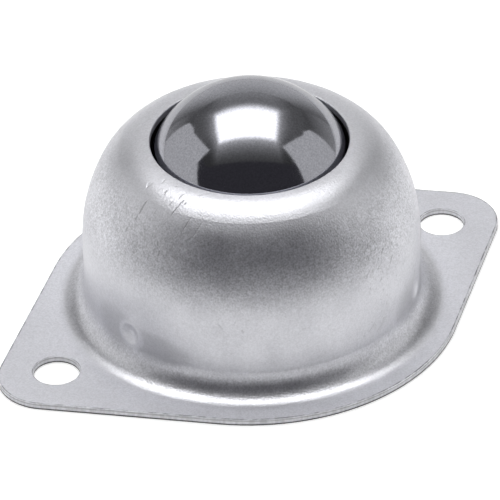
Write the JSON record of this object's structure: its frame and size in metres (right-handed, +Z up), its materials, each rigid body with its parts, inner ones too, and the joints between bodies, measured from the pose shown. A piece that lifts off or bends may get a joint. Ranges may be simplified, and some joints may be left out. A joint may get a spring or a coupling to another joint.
{
  "type": "ball transfer unit",
  "caption": "Flange-mounted ball transfer unit: a pressed steel dome with a two-eared flange holds a free-rolling load ball on a bed of small balls in a cup.",
  "frame": {"origin": "on the flange's underside, straight below the load ball", "axes": "+Z up through the mouth, +X through the right mounting hole"},
  "size_m": [0.0698, 0.0506, 0.0302],
  "materials": {
    "zinc_plate": "satin zinc plating on pressed steel",
    "polished_ball": "mirror-polished bearing steel",
    "hardened_cup": "dark hardened steel",
    "support_ball_steel": "polished bearing steel"
  },
  "bodies": {
    "housing": {"bearing_cup": "hardened_cup", "housing": "zinc_plate", "retaining_ring": "zinc_plate"},
    "ball_bed": {"support_ball_row0_01": "support_ball_steel", "support_ball_row1_01": "support_ball_steel", "support_ball_row1_02": "support_ball_steel", "support_ball_row1_03": "support_ball_steel", "support_ball_row1_04": "support_ball_steel", "support_ball_row1_05": "support_ball_steel", "support_ball_row1_06": "support_ball_steel", "support_ball_row2_01": "support_ball_steel", "support_ball_row2_02": "support_ball_steel", "support_ball_row2_03": "support_ball_steel", "support_ball_row2_04": "support_ball_steel", "support_ball_row2_05": "support_ball_steel", "support_ball_row2_06": "support_ball_steel", "support_ball_row2_07": "support_ball_steel", "support_ball_row2_08": "support_ball_steel", "support_ball_row2_09": "support_ball_steel", "support_ball_row2_10": "support_ball_steel", "support_ball_row2_11": "support_ball_steel", "support_ball_row2_12": "support_ball_steel", "support_ball_row3_01": "support_ball_steel", "support_ball_row3_02": "support_ball_steel", "support_ball_row3_03": "support_ball_steel", "support_ball_row3_04": "support_ball_steel", "support_ball_row3_05": "support_ball_steel", "support_ball_row3_06": "support_ball_steel", "support_ball_row3_07": "support_ball_steel", "support_ball_row3_08": "support_ball_steel", "support_ball_row3_09": "support_ball_steel", "support_ball_row3_10": "support_ball_steel", "support_ball_row3_11": "support_ball_steel", "support_ball_row3_12": "support_ball_steel", "support_ball_row3_13": "support_ball_steel", "support_ball_row3_14": "support_ball_steel", "support_ball_row3_15": "support_ball_steel", "support_ball_row3_16": "support_ball_steel", "support_ball_row3_17": "support_ball_steel", "support_balls_row4": "support_ball_steel", "support_balls_row5": "support_ball_steel", "support_balls_row6": "support_ball_steel"},
    "load_ball": {"load_ball": "polished_ball"}
  },
  "joints": [
    {"name": "bed_turn", "type": "hinge", "parent": "housing", "child": "ball_bed", "pos_m": [0, 0, 0.01752], "axis": [0, 0, 1], "continuous": true},
    {"name": "ball_roll", "type": "hinge", "parent": "ball_bed", "child": "load_ball", "pos_m": [0, 0, 0.01752], "axis": [1, 0, 0], "continuous": true}
  ]
}
